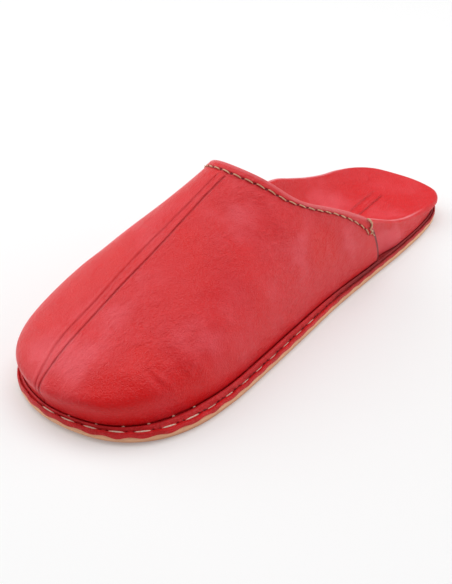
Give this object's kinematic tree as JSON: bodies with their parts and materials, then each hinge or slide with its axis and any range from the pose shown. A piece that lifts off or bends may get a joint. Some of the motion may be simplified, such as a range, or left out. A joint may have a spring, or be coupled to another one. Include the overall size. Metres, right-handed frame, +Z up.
{
  "type": "babouche slipper",
  "caption": "Backless leather babouche slipper with a hollow round-toed upper, a folded-down back, a stitched welt and a flat sole.",
  "frame": {"origin": "on the floor, under the middle of the whole slipper", "axes": "+X towards the toe, +Y towards the inner side of the foot, +Z up"},
  "size_m": [0.2628, 0.097, 0.0701],
  "materials": {
    "upper_leather": "satin red dyed leather",
    "welt_leather": "satin dark red dyed leather",
    "insole_leather": "matt red leather",
    "sole_leather": "natural tan leather, matt cut edge"
  },
  "bodies": {
    "root": {"outsole": "sole_leather", "welt": "welt_leather", "insole": "insole_leather", "upper": "upper_leather", "folded_back": "upper_leather"}
  },
  "joints": []
}
